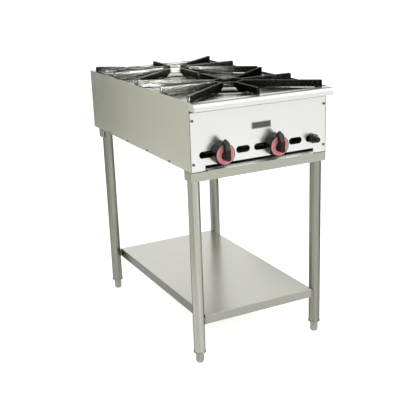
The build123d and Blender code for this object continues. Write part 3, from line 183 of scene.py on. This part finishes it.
# ---------------------------------------------------------------- metals
def brushed_stainless(name, dark, light, grain_mm, rough, wave_mm=0.1, painted_bands=(), grease_and_shade_from=None):
    """Stainless sheet with a No. 4 brushed finish, belt-ground in one direction.

    The belt leaves fine parallel lines that stretch every reflection across them, and the rolled sheet is
    never quite flat, so broad reflections wander. The lines are drawn 2 mm wide, coarser than the real
    0.1 mm, so that they show. Handling leaves faint cloudy patches that are a little duller.
    Painted shade and painted reflection darken seams, bends and flanges in bands, each given by its axis,
    middle, half width and colour.
    Burnt drippings and painted shade darken what lies behind a place on the Y axis, in thicker and thinner
    patches.
    """
    material, tree, place = new_material(name)
    grain = add_node(tree, "ShaderNodeMapping", {"Scale": features(*grain_mm)}, {"Vector": place})
    lines = add_node(
        tree, "ShaderNodeTexNoise", {"Scale": 1.0, "Detail": 4.0, "Roughness": 0.65},
        {"Vector": grain.outputs["Vector"]})
    clouds = add_node(
        tree, "ShaderNodeTexNoise", {"Scale": 1000 / scuff_size, "Detail": 3.0, "Roughness": 0.55},
        {"Vector": place})
    waves = add_node(
        tree, "ShaderNodeTexNoise", {"Scale": 1000 / wave_size, "Detail": 1.0}, {"Vector": place})
    mixed = add_node(
        tree, "ShaderNodeMix", {"data_type": "FLOAT", 0: 0.5},
        {2: lines.outputs["Fac"], 3: clouds.outputs["Fac"]})
    tone = add_node(
        tree, "ShaderNodeMix", {"data_type": "RGBA", 6: linear(dark), 7: linear(light)},
        {0: mixed.outputs[0]})
    axes = add_node(tree, "ShaderNodeSeparateXYZ", {}, {"Vector": place})
    # painted shade and painted reflection, drawn as darker bands of colour
    for axis, middle, half_width, band_colour in painted_bands:
        in_band = add_node(
            tree, "ShaderNodeMath", {"operation": "COMPARE", 1: middle, 2: half_width},
            {0: axes.outputs[axis]})
        tone = add_node(
            tree, "ShaderNodeMix", {"data_type": "RGBA", 7: linear(band_colour)},
            {0: in_band.outputs["Value"], 6: tone.outputs[2]})
    # burnt drippings and painted shade behind a place on the Y axis
    if grease_and_shade_from is not None:
        behind = add_node(
            tree, "ShaderNodeMath", {"operation": "GREATER_THAN", 1: grease_and_shade_from}, {0: axes.outputs["Y"]})
        thickness = add_node(
            tree, "ShaderNodeMapRange",
            {"From Min": 0.35, "From Max": 0.6, "To Min": thin_grease_and_shade, "To Max": thick_grease_and_shade},
            {"Value": clouds.outputs["Fac"]})
        grease_and_shade = add_node(
            tree, "ShaderNodeMath", {"operation": "MULTIPLY"},
            {0: behind.outputs["Value"], 1: thickness.outputs["Result"]})
        tone = add_node(
            tree, "ShaderNodeMix", {"data_type": "RGBA", 7: linear(baked_grease_and_shade)},
            {0: grease_and_shade.outputs["Value"], 6: tone.outputs[2]})
    dullness = add_node(
        tree, "ShaderNodeMapRange",
        {"From Min": noise_low, "From Max": noise_high, "To Min": rough - 0.02, "To Max": rough + 0.03},
        {"Value": mixed.outputs[0]})
    line_relief = add_node(
        tree, "ShaderNodeBump", {"Distance": line_depth, "Strength": 0.4}, {"Height": lines.outputs["Fac"]})
    sheet_relief = add_node(
        tree, "ShaderNodeBump", {"Distance": wave_mm * MM, "Strength": 0.5},
        {"Height": waves.outputs["Fac"], "Normal": line_relief.outputs["Normal"]})
    steel = add_node(tree, "ShaderNodeBsdfPrincipled", {"Metallic": 1.0}, {
        "Base Color": tone.outputs[2],
        "Roughness": dullness.outputs["Result"],
        "Normal": sheet_relief.outputs["Normal"],
    })
    add_node(tree, "ShaderNodeOutputMaterial", links={"Surface": steel.outputs["BSDF"]})
    return material


def mill_finish_stainless(name, dark, light, dull, bright):
    """Stainless deck sheet with a smooth 2B mill finish, dulled in patches by heat and wiping."""
    material, tree, place = new_material(name)
    stroke = add_node(tree, "ShaderNodeMapping", {"Scale": features(*wipe_size)}, {"Vector": place})
    wiped = add_node(
        tree, "ShaderNodeTexNoise", {"Scale": 1.0, "Detail": 5.0, "Roughness": 0.6},
        {"Vector": stroke.outputs["Vector"]})
    buckle = add_node(
        tree, "ShaderNodeTexNoise", {"Scale": 1000 / buckle_size, "Detail": 1.0}, {"Vector": place})
    tone = add_node(
        tree, "ShaderNodeMix", {"data_type": "RGBA", 6: linear(dark), 7: linear(light)},
        {0: wiped.outputs["Fac"]})
    dullness = add_node(
        tree, "ShaderNodeMapRange",
        {"From Min": noise_low, "From Max": noise_high, "To Min": bright, "To Max": dull},
        {"Value": wiped.outputs["Fac"]})
    relief = add_node(
        tree, "ShaderNodeBump", {"Distance": buckle_depth, "Strength": 0.5},
        {"Height": buckle.outputs["Fac"]})
    steel = add_node(tree, "ShaderNodeBsdfPrincipled", {"Metallic": 1.0}, {
        "Base Color": tone.outputs[2],
        "Roughness": dullness.outputs["Result"],
        "Normal": relief.outputs["Normal"],
    })
    add_node(tree, "ShaderNodeOutputMaterial", links={"Surface": steel.outputs["BSDF"]})
    return material


def polished_tube(name, dark, light, rough):
    """Welded stainless tube polished along its length: soft streaks that run up it, and a satin sheen.

    The streaks are drawn 5 mm wide, coarser than the polishing belt's real 0.2 mm, so that they show. A
    painted reflection tints the tube darker towards its outline, where it mirrors the dim sides of the
    studio.
    """
    material, tree, place = new_material(name)
    along = add_node(tree, "ShaderNodeMapping", {"Scale": features(*streak_size)}, {"Vector": place})
    streaks = add_node(
        tree, "ShaderNodeTexNoise", {"Scale": 1.0, "Detail": 3.0}, {"Vector": along.outputs["Vector"]})
    smears = add_node(
        tree, "ShaderNodeTexNoise", {"Scale": 1000 / smear_size, "Detail": 3.0}, {"Vector": place})
    tone = add_node(
        tree, "ShaderNodeMix", {"data_type": "RGBA", 6: linear(dark), 7: linear(light)},
        {0: streaks.outputs["Fac"]})
    dullness = add_node(
        tree, "ShaderNodeMapRange",
        {"From Min": noise_low, "From Max": noise_high, "To Min": rough - 0.06, "To Max": rough + 0.06},
        {"Value": smears.outputs["Fac"]})
    relief = add_node(
        tree, "ShaderNodeBump", {"Distance": streak_depth, "Strength": 0.4},
        {"Height": streaks.outputs["Fac"]})
    bare_metal = {"Metallic": 1.0, "Specular Tint": linear(tube_edge)}
    steel = add_node(tree, "ShaderNodeBsdfPrincipled", bare_metal, {
        "Base Color": tone.outputs[2],
        "Roughness": dullness.outputs["Result"],
        "Normal": relief.outputs["Normal"],
    })
    add_node(tree, "ShaderNodeOutputMaterial", links={"Surface": steel.outputs["BSDF"]})
    return material


def plain_metal(name, dark, light, patch_mm, dull, bright, relief_mm):
    """Small metal fitting: its tone, dullness and skin vary in patches of one size.

    Weld beads come out silvery with straw tints and ripples; die-cast zinc a dull mottled grey; zinc plate
    pale with a crystalline spangle; turned brass a tarnished yellow; drawn aluminium pale with small dents;
    stainless screw heads bright with wiped smears; black oxide an oily near-black.
    """
    material, tree, place = new_material(name)
    spread = add_node(tree, "ShaderNodeMapping", {"Scale": features(*patch_mm)}, {"Vector": place})
    patches = add_node(
        tree, "ShaderNodeTexNoise", {"Scale": 1.0, "Detail": 4.0, "Roughness": 0.55},
        {"Vector": spread.outputs["Vector"]})
    tone = add_node(
        tree, "ShaderNodeMix", {"data_type": "RGBA", 6: linear(dark), 7: linear(light)},
        {0: patches.outputs["Fac"]})
    dullness = add_node(
        tree, "ShaderNodeMapRange",
        {"From Min": noise_low, "From Max": noise_high, "To Min": bright, "To Max": dull},
        {"Value": patches.outputs["Fac"]})
    relief = add_node(
        tree, "ShaderNodeBump", {"Distance": relief_mm * MM, "Strength": 0.6},
        {"Height": patches.outputs["Fac"]})
    metal = add_node(tree, "ShaderNodeBsdfPrincipled", {"Metallic": 1.0}, {
        "Base Color": tone.outputs[2],
        "Roughness": dullness.outputs["Result"],
        "Normal": relief.outputs["Normal"],
    })
    add_node(tree, "ShaderNodeOutputMaterial", links={"Surface": metal.outputs["BSDF"]})
    return material


def cast_iron(name, dark, light, rough, relief_mm, worn_and_highlit_height=None):
    """Grey iron cast in green sand and left bare: a grainy skin with a low dull sheen.

    The mould's sand prints its grain on the skin as small dimples with darker rims. They are drawn 5 mm
    across, coarser than the real 2 mm, so that they show. Black scale blotches the iron a little. Pots wear
    the top faces bright, and those faces are also drawn lighter as a painted highlight.
    """
    material, tree, place = new_material(name)
    blotches = add_node(
        tree, "ShaderNodeTexNoise", {"Scale": 1000 / blotch_size, "Detail": 4.0, "Roughness": 0.6},
        {"Vector": place})
    sand = add_node(tree, "ShaderNodeTexVoronoi", {"Scale": 1000 / dimple_size}, {"Vector": place})
    lumps = add_node(
        tree, "ShaderNodeTexNoise", {"Scale": 1000 / lump_size, "Detail": 2.0}, {"Vector": place})
    speckle = add_node(
        tree, "ShaderNodeMix", {"data_type": "FLOAT", 0: 0.25},
        {2: sand.outputs["Distance"], 3: blotches.outputs["Fac"]})
    inside_dimple = add_node(
        tree, "ShaderNodeMapRange", {"From Min": 0.68, "From Max": 0.3}, {"Value": speckle.outputs[0]})
    tone = add_node(
        tree, "ShaderNodeMix", {"data_type": "RGBA", 6: linear(dark), 7: linear(light)},
        {0: inside_dimple.outputs["Result"]})
    # the top faces are drawn lighter: wear from pots and a painted highlight
    if worn_and_highlit_height is not None:
        axes = add_node(tree, "ShaderNodeSeparateXYZ", {}, {"Vector": place})
        on_top = add_node(
            tree, "ShaderNodeMath", {"operation": "GREATER_THAN", 1: worn_and_highlit_height}, {0: axes.outputs["Z"]})
        tone = add_node(
            tree, "ShaderNodeMix", {"data_type": "RGBA", 7: linear(worn_and_highlit_iron)},
            {0: on_top.outputs["Value"], 6: tone.outputs[2]})
    dullness = add_node(
        tree, "ShaderNodeMapRange",
        {"From Min": noise_low, "From Max": noise_high, "To Min": rough - 0.1, "To Max": rough + 0.1},
        {"Value": sand.outputs["Distance"]})
    skin = add_node(
        tree, "ShaderNodeBump", {"Distance": relief_mm * MM, "Strength": 0.9},
        {"Height": sand.outputs["Distance"]})
    relief = add_node(
        tree, "ShaderNodeBump", {"Distance": lump_depth, "Strength": 0.5},
        {"Height": lumps.outputs["Fac"], "Normal": skin.outputs["Normal"]})
    bare_metal = {"Metallic": 1.0, "Specular Tint": linear(iron_edge)}
    iron = add_node(tree, "ShaderNodeBsdfPrincipled", bare_metal, {
        "Base Color": tone.outputs[2],
        "Roughness": dullness.outputs["Result"],
        "Normal": relief.outputs["Normal"],
    })
    add_node(tree, "ShaderNodeOutputMaterial", links={"Surface": iron.outputs["BSDF"]})
    return material


# ---------------------------------------------------------------- paints and plastics
def coated(name, dark, light, patch_mm, dull, bright, relief_mm, shine=0.5):
    """Paint or moulded plastic over its whole thickness: tone, gloss and skin vary in patches of one size.

    Pipe varnish shows runs and thin spots; moulded phenolic is charcoal and satin with a fine eroded
    texture; the dyed acrylic inlay is rose red, a little faded in clouds, and glossy; badge enamel has an
    orange-peel skin.
    """
    material, tree, place = new_material(name)
    spread = add_node(tree, "ShaderNodeMapping", {"Scale": features(*patch_mm)}, {"Vector": place})
    patches = add_node(
        tree, "ShaderNodeTexNoise", {"Scale": 1.0, "Detail": 4.0, "Roughness": 0.6},
        {"Vector": spread.outputs["Vector"]})
    grit = add_node(
        tree, "ShaderNodeTexNoise", {"Scale": 1000 / grit_size, "Detail": 2.0}, {"Vector": place})
    tone = add_node(
        tree, "ShaderNodeMix", {"data_type": "RGBA", 6: linear(dark), 7: linear(light)},
        {0: patches.outputs["Fac"]})
    dullness = add_node(
        tree, "ShaderNodeMapRange",
        {"From Min": noise_low, "From Max": noise_high, "To Min": bright, "To Max": dull},
        {"Value": patches.outputs["Fac"]})
    relief = add_node(
        tree, "ShaderNodeBump", {"Distance": relief_mm * MM, "Strength": 0.6},
        {"Height": grit.outputs["Fac"]})
    coat = add_node(tree, "ShaderNodeBsdfPrincipled", {"Specular IOR Level": shine}, {
        "Base Color": tone.outputs[2],
        "Roughness": dullness.outputs["Result"],
        "Normal": relief.outputs["Normal"],
    })
    add_node(tree, "ShaderNodeOutputMaterial", links={"Surface": coat.outputs["BSDF"]})
    return material


# ---------------------------------------------------------------- finishes of the frame's pieces
panel_low, panel_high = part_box("control_panel")
ledge_low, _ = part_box("front_ledge")
_, rail_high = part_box("front_rail")
shelf_low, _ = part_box("undershelf")
_, grate_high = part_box("grate_front")
# painted shade: dark bands in the panel's side seams and below the ledge, and along the rail's top seam
panel_seams = [
    ("Z", ledge_low.z - under_ledge / 2, under_ledge / 2, painted_seam_shade),
    ("X", panel_low.x + seam_width / 2, seam_width / 2, painted_seam_shade),
    ("X", panel_high.x - seam_width / 2, seam_width / 2, painted_seam_shade),
]
rail_seams = [("Z", rail_high.z - seam_width / 2, seam_width / 2, painted_seam_shade)]
# painted reflection: a darker band along the ledge's upper bend
ledge_bend = [("Y", ledge_low.y + bend_setback, bend_width / 2, painted_bend_reflection)]
# painted shade: the shelf's left and front flanges are drawn darker than its top
shelf_flanges = [
    ("X", shelf_low.x, flange_skin, left_flange_shade),
    ("Y", shelf_low.y, flange_skin, front_flange_shade),
]

front_steel = brushed_stainless("brushed_stainless_front", "E8E9E6", "F0F0ED", across_grain, 0.28)
panel_steel = brushed_stainless(
    "brushed_stainless_panel", "E8E9E6", "F0F0ED", across_grain, 0.28, painted_bands=panel_seams)
ledge_steel = brushed_stainless(
    "brushed_stainless_ledge", "E8E9E6", "F0F0ED", across_grain, 0.28, painted_bands=ledge_bend)
side_steel = brushed_stainless("brushed_stainless_side", "DBDCD2", "E3E3DA", deep_grain, 0.25, 0.06)
rail_steel = brushed_stainless(
    "brushed_stainless_rail", "A8A89C", "BEBEB3", across_grain, 0.32, painted_bands=rail_seams)
shelf_steel = brushed_stainless(
    "brushed_stainless_shelf", "C4C4BA", "D6D6CD", deep_grain, 0.24, 0.25, painted_bands=shelf_flanges)
# the tray is darkened behind the panel's front plane: burnt drippings and painted shade
tray_steel = brushed_stainless(
    "brushed_stainless_tray", "EDEDE9", "F7F7F4", across_grain, 0.5, grease_and_shade_from=panel_low.y)
deck_steel = mill_finish_stainless("mill_finish_stainless_deck", "CECEC6", "E8E8E2", 0.24, 0.12)
tube_steel = polished_tube("polished_stainless_tube", "8E8E86", "E8E8E0", 0.3)
# painted shade: a darker copy of the tube steel, for the legs that stand in shade
shaded_tube_steel = polished_tube("polished_stainless_tube_painted_shade", "6E6E66", "C0C0B6", 0.32)
grate_iron = cast_iron(
    "sand_cast_iron_grate", "101010", "2E2E2B", 0.42, 1.5, grate_high.z - worn_and_highlit_depth)
burner_iron = cast_iron("sand_cast_iron_burner", "1A1816", "3A3631", 0.68, 0.35)
weld_steel = plain_metal("tig_weld_stainless", "6F6A5E", "BDB8A8", (5, 5, 1.6), 0.45, 0.3, 0.3)
foot_zinc = plain_metal("die_cast_zinc", "8A8A84", "C6C6C0", (6, 6, 3), 0.55, 0.34, 0.06)
plated_steel = plain_metal("zinc_plated_steel", "9EA3A6", "C9CCCE", (7, 7, 7), 0.42, 0.28, 0.02)
valve_brass = plain_metal("turned_brass", "44351B", "806838", (12, 0.8, 12), 0.45, 0.28, 0.02)
pilot_aluminium = plain_metal("drawn_aluminium", "B4B5B6", "D6D7D8", (14, 14, 14), 0.45, 0.3, 0.1)
screw_bright = plain_metal("stainless_screw", "8E8E88", "C4C4BE", (3, 3, 3), 0.35, 0.2, 0.02)
# painted shade: a darker copy of the screw steel for the control panel's screws
shaded_screw = plain_metal("stainless_screw_painted_shade", "3C3C38", "8A8A84", (3, 3, 3), 0.4, 0.26, 0.02)
screw_black = plain_metal("black_oxide_steel", "262624", "4A4946", (2.5, 2.5, 2.5), 0.45, 0.3, 0.02)
pipe_varnish = coated("black_varnished_pipe", "0E0E0E", "2E2C2A", (40, 12, 12), 0.5, 0.3, 0.03)
knob_phenolic = coated("moulded_phenolic", "0C0C0B", "1A1A18", (16, 16, 16), 0.36, 0.26, 0.03, 0.3)
inlay_acrylic = coated("dyed_acrylic", "E48A8B", "F6A5A5", (16, 16, 16), 0.34, 0.22, 0.01)
badge_field = coated("baked_badge_enamel", "3E3E3A", "6E6E67", (9, 9, 9), 0.34, 0.24, 0.02)

finishes = {
    "stand_steel": tube_steel,
    "shelf_steel": shelf_steel,
    "weld_metal": weld_steel,
    "foot_metal": foot_zinc,
    "side_steel": side_steel,
    "front_steel": front_steel,
    "deck_steel": deck_steel,
    "screw_steel": screw_bright,
    "black_screw": screw_black,
    "plated_steel": plated_steel,
    "badge_plate": badge_field,
    "tray_steel": tray_steel,
    "cast_iron": burner_iron,
    "gas_pipe": pipe_varnish,
    "brass": valve_brass,
    "pilot_metal": pilot_aluminium,
    "knob_plastic": knob_phenolic,
    "inlay_red": inlay_acrylic,
}
own_finishes = {
    "control_panel": panel_steel,
    "front_ledge": ledge_steel,
    "front_rail": rail_steel,
    "rear_rail": rail_steel,
    # painted shade on the front right leg and both rear legs
    "leg_front_right": shaded_tube_steel,
    "leg_rear_left": shaded_tube_steel,
    "leg_rear_right": shaded_tube_steel,
    "control_panel_screws": shaded_screw,
}


def finish_frame_pieces():
    """Give every piece of the frame the finish of its material slot, or its own."""
    slot_of = {part["node"]: part["material_slot"] for part in frame["record"]["subparts"]}
    for node, piece in frame["nodes"].items():
        material = own_finishes.get(node, finishes[slot_of[node]])
        piece.data.materials.clear()
        piece.data.materials.append(material)


# ---------------------------------------------------------------- pieces made here
def rounded_copy(node, width, material):
    """Copy of a frame piece with its sharp edges rounded, which stands for that piece."""
    form = bmesh.new()
    form.from_mesh(frame["nodes"][node].data)
    bmesh.ops.remove_doubles(form, verts=form.verts, dist=joined_corner)
    bmesh.ops.dissolve_limit(form, angle_limit=flat_angle, verts=form.verts, edges=form.edges)
    piece = new_piece(node + "_rounded", form, material)
    faces = piece.data.polygons
    faces.foreach_set("use_smooth", [True] * len(faces))
    edge = piece.modifiers.new("edge", "BEVEL")
    edge.width = width
    edge.segments = rounding_steps
    edge.limit_method = "ANGLE"
    edge.angle_limit = sharp_angle
    edge.harden_normals = True
    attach(piece, frame["nodes"][node]["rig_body"])
    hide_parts(node)
    return piece


def badge_rim(material):
    """Bright rim pressed up around the badge's bare enamel field."""
    low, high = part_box("badge_plate")
    form = bmesh.new()
    bmesh.ops.create_grid(form, x_segments=1, y_segments=1, size=0.5)
    size = Vector((high.x - low.x, high.z - low.z, 1))
    bmesh.ops.scale(form, vec=size, verts=form.verts)
    bmesh.ops.inset_region(
        form, faces=form.faces[:], thickness=badge_rim_width, use_boundary=True, use_even_offset=True)
    middle = min(form.faces, key=lambda face: face.calc_center_median().length)
    bmesh.ops.delete(form, geom=[middle], context="FACES_ONLY")
    rim = bmesh.ops.extrude_face_region(form, geom=form.faces[:])
    raised = [item for item in rim["geom"] if isinstance(item, bmesh.types.BMVert)]
    bmesh.ops.translate(form, vec=(0, 0, badge_rim_rise), verts=raised)
    bmesh.ops.rotate(form, cent=(0, 0, 0), matrix=Matrix.Rotation(upright, 3, "X"), verts=form.verts)
    bmesh.ops.translate(
        form, vec=((low.x + high.x) / 2, low.y, (low.z + high.z) / 2), verts=form.verts)
    bmesh.ops.recalc_face_normals(form, faces=form.faces)
    piece = new_piece("badge_rim", form, material)
    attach(piece, frame["nodes"]["badge_plate"]["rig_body"])


# ---------------------------------------------------------------- studio
def paper_floor():
    """White paper sweep: it takes the object's soft shadow and reads as white."""
    material, tree, _ = new_material("white_paper")
    paper = add_node(tree, "ShaderNodeBsdfDiffuse", {"Color": linear("E6E6E4")})
    rays = add_node(tree, "ShaderNodeLightPath")
    seen = add_node(
        tree, "ShaderNodeMath", {"operation": "MAXIMUM"},
        {0: rays.outputs["Is Camera Ray"], 1: rays.outputs["Is Glossy Ray"]})
    seen_through = add_node(
        tree, "ShaderNodeMath", {"operation": "MAXIMUM"},
        {0: seen.outputs["Value"], 1: rays.outputs["Is Transmission Ray"]})
    paper_white = add_node(
        tree, "ShaderNodeMath", {"operation": "MULTIPLY", 1: floor_glow},
        {0: seen_through.outputs["Value"]})
    strength = add_node(
        tree, "ShaderNodeMath", {"operation": "MULTIPLY_ADD", 1: floor_lift},
        {0: rays.outputs["Is Camera Ray"], 2: paper_white.outputs["Value"]})
    glow = add_node(
        tree, "ShaderNodeEmission", {"Color": linear("FFFFFF")},
        {"Strength": strength.outputs["Value"]})
    both = add_node(tree, "ShaderNodeAddShader", {}, {0: paper.outputs[0], 1: glow.outputs[0]})
    add_node(tree, "ShaderNodeOutputMaterial", links={"Surface": both.outputs[0]})
    form = bmesh.new()
    bmesh.ops.create_grid(form, x_segments=1, y_segments=1, size=floor_side / 2)
    floor = new_piece("paper_floor", form, material)


def grey_card(name, middle, length, shade):
    """Upright grey card, hidden from the camera, which stands on the floor and shows in the steel."""
    material, tree, _ = new_material(name)
    card = add_node(tree, "ShaderNodeEmission", {"Color": linear(shade)})
    add_node(tree, "ShaderNodeOutputMaterial", links={"Surface": card.outputs[0]})
    form = bmesh.new()
    bmesh.ops.create_grid(form, x_segments=1, y_segments=1, size=0.5)
    bmesh.ops.scale(form, vec=(length, card_height, 1), verts=form.verts)
    bmesh.ops.rotate(form, cent=(0, 0, 0), matrix=Matrix.Rotation(upright, 3, "X"), verts=form.verts)
    bmesh.ops.rotate(form, cent=(0, 0, 0), matrix=Matrix.Rotation(card_turn, 3, "Z"), verts=form.verts)
    bmesh.ops.translate(form, vec=(*middle, card_height / 2), verts=form.verts)
    board = new_piece(name, form, material)
    board.visible_camera = False
    board.visible_shadow = False


def soft_lamp(name, place, aim, size, watts, spread=180):
    """Square soft box that faces a point; a grid on its front narrows its spread, in degrees."""
    lamp = bpy.data.lights.new(name, "AREA")
    lamp.shape = "SQUARE"
    lamp.size = size
    lamp.energy = watts
    lamp.spread = math.radians(spread)
    box = bpy.data.objects.new(name, lamp)
    box.location = place
    box.visible_camera = False
    box.rotation_euler = (Vector(aim) - Vector(place)).to_track_quat("-Z", "Y").to_euler()
    bpy.context.scene.collection.objects.link(box)
    return box


def flag_off(lamp, pieces):
    """Keep a lamp's light on these pieces alone, as flags in front of it would."""
    lit = bpy.data.collections.new(lamp.name + "_lit")
    for piece in pieces:
        lit.objects.link(piece)
    lamp.light_linking.receiver_collection = lit


def studio_world():
    """Even white surroundings; what lights dull surfaces is a softer grey than what the camera sees."""
    world = bpy.data.worlds.new("studio")
    bpy.context.scene.world = world
    world.use_nodes = True
    tree = world.node_tree
    tree.nodes.clear()
    rays = add_node(tree, "ShaderNodeLightPath")
    seen = add_node(
        tree, "ShaderNodeMath", {"operation": "MAXIMUM"},
        {0: rays.outputs["Is Camera Ray"], 1: rays.outputs["Is Glossy Ray"]})
    level = add_node(
        tree, "ShaderNodeMapRange", {"To Min": surroundings_light, "To Max": 1.0},
        {"Value": seen.outputs["Value"]})
    background = add_node(
        tree, "ShaderNodeBackground", {"Color": linear("FFFFFF")}, {"Strength": level.outputs["Result"]})
    add_node(tree, "ShaderNodeOutputWorld", links={"Surface": background.outputs[0]})


def range_camera():
    """Camera that looks at the range from the front left, a little above its deck."""
    outward = Vector((
        math.sin(view_azimuth) * math.cos(view_elevation),
        -math.cos(view_azimuth) * math.cos(view_elevation),
        math.sin(view_elevation),
    ))
    level = Vector((math.cos(view_azimuth), math.sin(view_azimuth), 0))
    overhead = outward.cross(level)
    right = math.cos(view_roll) * level + math.sin(view_roll) * overhead
    up = math.cos(view_roll) * overhead - math.sin(view_roll) * level
    lens = bpy.data.cameras.new("camera")
    lens.lens = lens_length
    lens.sensor_width = sensor_width
    lens.sensor_fit = "HORIZONTAL"
    lens.clip_end = 100
    camera = bpy.data.objects.new("camera", lens)
    turn = Matrix((right, up, outward)).transposed().to_4x4()
    camera.matrix_world = Matrix.Translation(view_aim + view_distance * outward) @ turn
    bpy.context.scene.collection.objects.link(camera)
    bpy.context.scene.camera = camera


# ---------------------------------------------------------------- build the scene
finish_frame_pieces()
grates = [rounded_copy(node, cast_edge, grate_iron) for node in ("grate_front", "grate_rear")]
for node in ("knob_front", "knob_rear", "pilot_knob"):
    rounded_copy(node, moulded_edge, knob_phenolic)
badge_rim(screw_bright)

paper_floor()
grey_card("left_card", middle=(-1.0, 0.4), length=3.2, shade="D0D0C6")
grey_card("left_rear_card", middle=(-1.0, 3.3), length=2.6, shade="76766F")
grey_card("right_card", middle=(1.1, 0.2), length=2.6, shade="A4A49C")
soft_lamp("key", place=(1.6, -2.6, 2.6), aim=lamp_aim, size=1.8, watts=30)
soft_lamp("top", place=(-0.4, 0.6, 3.0), aim=lamp_aim, size=2.0, watts=8)
grate_lamp = soft_lamp(
    "grate_lamp", place=(-0.87, -1.42, 1.0), aim=(-0.15, 0.02, 0.885), size=0.25, watts=14, spread=12)
flag_off(grate_lamp, grates)
studio_world()
range_camera()
bpy.context.scene.view_settings.view_transform = "Standard"
